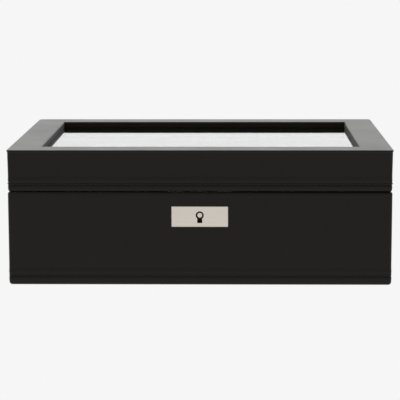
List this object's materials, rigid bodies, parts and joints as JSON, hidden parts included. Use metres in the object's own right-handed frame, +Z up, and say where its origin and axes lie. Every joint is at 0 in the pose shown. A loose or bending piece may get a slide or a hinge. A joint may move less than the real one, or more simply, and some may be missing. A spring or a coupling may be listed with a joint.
{
  "type": "watch winder box",
  "caption": "Leather-covered watch box with a hinged glass lid and lock, holding tilted belt-driven winder drums and a tray of watch pillows.",
  "frame": {"origin": "centre of the felt underside, on the surface that the box stands on", "axes": "+X to the right as seen from the front, +Y to the back, +Z up; the lock plate faces -Y"},
  "size_m": [0.361, 0.2837, 0.128],
  "materials": {
    "black_leather": "semi-gloss grained, black stitching",
    "case_board": "raw fibreboard",
    "suede": "matt black microsuede",
    "felt": "matt pressed felt",
    "window_glass": "clear polished",
    "nickel": "polished nickel plate",
    "brass": "satin",
    "steel": "zinc plated",
    "satin_aluminium": "fine brushed",
    "black_plastic": "fine spark texture",
    "gloss_black_plastic": "polished",
    "belt_rubber": "matt",
    "acetal": "smooth, off-white",
    "circuit_green": "solder mask",
    "lens_plastic": "translucent",
    "wire_jacket": "soft vinyl"
  },
  "bodies": {
    "case": {"base_floor_board": "case_board", "base_front_board": "case_board", "base_back_board": "case_board", "base_left_board": "case_board", "base_right_board": "case_board", "base_leather": "black_leather", "base_lining": "suede", "base_felt": "felt", "hinge_base_leaves": "brass", "hinge_pins": "brass", "hinge_screws": "steel", "lock_plate": "nickel", "lock_case": "brass", "lock_pin": "nickel", "lock_screws": "steel", "lock_spring": "steel", "storage_tray": "suede", "tray_dividers": "suede", "winder_console": "suede", "left_housing": "black_plastic", "left_bezel": "satin_aluminium", "left_gearmotor": "steel", "left_drive_belt": "belt_rubber", "right_housing": "black_plastic", "right_bezel": "satin_aluminium", "right_gearmotor": "steel", "right_drive_belt": "belt_rubber", "axle_bushes": "acetal", "control_plate": "satin_aluminium", "indicator_lenses": "lens_plastic", "circuit_board": "circuit_green", "power_inlet": "gloss_black_plastic", "wiring": "wire_jacket"},
    "lid": {"lid_top_frame": "case_board", "lid_front_board": "case_board", "lid_back_board": "case_board", "lid_left_board": "case_board", "lid_right_board": "case_board", "lid_leather": "black_leather", "lid_lining": "suede", "lid_glass": "window_glass", "lid_screws": "steel", "lid_catch": "brass", "glass_retainer": "suede", "hinge_lid_leaves": "brass"},
    "drum_left": {"left_drum": "gloss_black_plastic"},
    "motor_pulley_left": {"left_motor_pulley": "acetal"},
    "cuff_left": {"left_cuff": "suede"},
    "program_knob_left": {"left_program_knob": "satin_aluminium"},
    "drum_right": {"right_drum": "gloss_black_plastic"},
    "motor_pulley_right": {"right_motor_pulley": "acetal"},
    "cuff_right": {"right_cuff": "suede"},
    "program_knob_right": {"right_program_knob": "satin_aluminium"},
    "power_rocker": {"power_rocker": "gloss_black_plastic"},
    "lock_bolt": {"lock_bolt": "brass"},
    "pillow_1": {"pillow_1": "suede"},
    "pillow_2": {"pillow_2": "suede"},
    "pillow_3": {"pillow_3": "suede"},
    "pillow_4": {"pillow_4": "suede"},
    "pillow_5": {"pillow_5": "suede"}
  },
  "joints": [
    {"name": "lid_hinge", "type": "hinge", "parent": "case", "child": "lid", "pos_m": [0, 0.1416, 0.08865], "axis": [-1, 0, 0], "range_deg": [0, 100]},
    {"name": "bolt_slide", "type": "slide", "parent": "case", "child": "lock_bolt", "axis": [1, 0, 0], "range_m": [0, 0.003]},
    {"name": "drum_left_spin", "type": "hinge", "parent": "case", "child": "drum_left", "pos_m": [-0.098, 0.04617, 0.08177], "axis": [0, -0.4226, 0.9063], "continuous": true},
    {"name": "motor_pulley_left_spin", "type": "hinge", "parent": "case", "child": "motor_pulley_left", "pos_m": [-0.034, 0.04617, 0.08177], "axis": [0, -0.4226, 0.9063], "continuous": true},
    {"name": "cuff_left_lift", "type": "slide", "parent": "drum_left", "child": "cuff_left", "axis": [0, -0.4226, 0.9063], "range_m": [0, 0.012]},
    {"name": "drum_right_spin", "type": "hinge", "parent": "case", "child": "drum_right", "pos_m": [0.098, 0.04617, 0.08177], "axis": [0, -0.4226, 0.9063], "continuous": true},
    {"name": "motor_pulley_right_spin", "type": "hinge", "parent": "case", "child": "motor_pulley_right", "pos_m": [0.034, 0.04617, 0.08177], "axis": [0, -0.4226, 0.9063], "continuous": true},
    {"name": "cuff_right_lift", "type": "slide", "parent": "drum_right", "child": "cuff_right", "axis": [0, -0.4226, 0.9063], "range_m": [0, 0.012]},
    {"name": "program_knob_left_turn", "type": "hinge", "parent": "case", "child": "program_knob_left", "pos_m": [-0.016, 0.0516, 0.0843], "axis": [0, -0.4226, 0.9063], "range_deg": [0, 270]},
    {"name": "program_knob_right_turn", "type": "hinge", "parent": "case", "child": "program_knob_right", "pos_m": [0.016, 0.0516, 0.0843], "axis": [0, -0.4226, 0.9063], "range_deg": [0, 270]},
    {"name": "power_rocker_tilt", "type": "hinge", "parent": "case", "child": "power_rocker", "pos_m": [0, 0.0371, 0.07754], "axis": [0, 0.9063, 0.4226], "range_deg": [0, 14]},
    {"name": "pillow_1_lift", "type": "slide", "parent": "case", "child": "pillow_1", "axis": [0, 0, 1], "range_m": [0, 0.05]},
    {"name": "pillow_2_lift", "type": "slide", "parent": "case", "child": "pillow_2", "axis": [0, 0, 1], "range_m": [0, 0.05]},
    {"name": "pillow_3_lift", "type": "slide", "parent": "case", "child": "pillow_3", "axis": [0, 0, 1], "range_m": [0, 0.05]},
    {"name": "pillow_4_lift", "type": "slide", "parent": "case", "child": "pillow_4", "axis": [0, 0, 1], "range_m": [0, 0.05]},
    {"name": "pillow_5_lift", "type": "slide", "parent": "case", "child": "pillow_5", "axis": [0, 0, 1], "range_m": [0, 0.05]}
  ],
  "couplings": [
    {"joint": "motor_pulley_left_spin", "follows": "drum_left_spin", "ratio": 6},
    {"joint": "motor_pulley_right_spin", "follows": "drum_right_spin", "ratio": 6}
  ]
}
